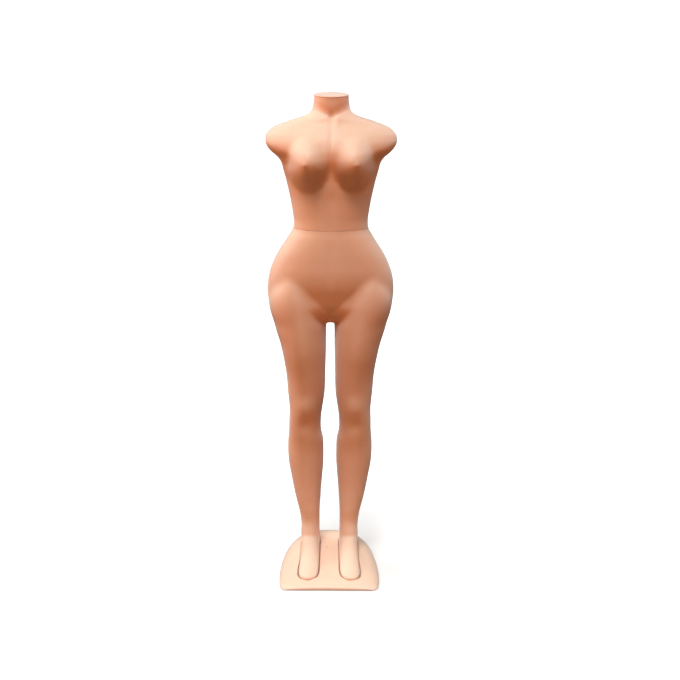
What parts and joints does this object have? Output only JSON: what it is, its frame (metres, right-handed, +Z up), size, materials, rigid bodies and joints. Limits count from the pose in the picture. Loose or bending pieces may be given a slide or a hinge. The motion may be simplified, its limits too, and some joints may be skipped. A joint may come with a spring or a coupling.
{
  "type": "full body mannequin",
  "caption": "Headless, armless full body display mannequin whose torso lifts off at a turning waist, with its feet bolted into the wells of a moulded base.",
  "frame": {"origin": "on the floor, under the middle of the base and of the whole figure", "axes": "+Z up the figure, the figure faces -Y, +X to the figure's left side"},
  "size_m": [0.382, 0.3032, 1.5028],
  "materials": {
    "body_plastic": "fine satin, blow moulded",
    "fitting_plastic": "fine grain, injection moulded",
    "friction_fibre": "plain",
    "zinc_steel": "bright zinc",
    "insert_brass": "turned",
    "rubber": "matt"
  },
  "bodies": {
    "lower_body": {"base_shell": "body_plastic", "base_pads": "rubber", "foot_bolts": "zinc_steel", "foot_washers": "zinc_steel", "foot_inserts": "insert_brass", "lower_body_shell": "body_plastic", "waist_plate": "fitting_plastic", "plate_screws": "zinc_steel", "pivot_bolt": "zinc_steel", "head_washer": "zinc_steel", "load_washer": "zinc_steel", "spring_washers": "zinc_steel", "lock_nut": "zinc_steel", "friction_washer": "friction_fibre"},
    "spigot": {"waist_spigot": "fitting_plastic"},
    "torso": {"torso_shell": "body_plastic", "waist_socket": "fitting_plastic", "socket_screws": "zinc_steel"},
    "neck_cap": {"neck_cap": "body_plastic"},
    "bung": {"base_bung": "fitting_plastic", "bung_seal": "rubber"}
  },
  "joints": [
    {"name": "waist_turn", "type": "hinge", "parent": "lower_body", "child": "spigot", "pos_m": [0, -0.006, 1.115], "axis": [0, 0, 1], "continuous": true},
    {"name": "torso_lift", "type": "slide", "parent": "spigot", "child": "torso", "axis": [0, 0, 1], "range_m": [0, 0.08]},
    {"name": "neck_cap_lift", "type": "slide", "parent": "torso", "child": "neck_cap", "axis": [0, -0.1045, 0.9945], "range_m": [0, 0.03]},
    {"name": "bung_pull", "type": "slide", "parent": "lower_body", "child": "bung", "axis": [0, 1, 0], "range_m": [0, 0.03]}
  ]
}
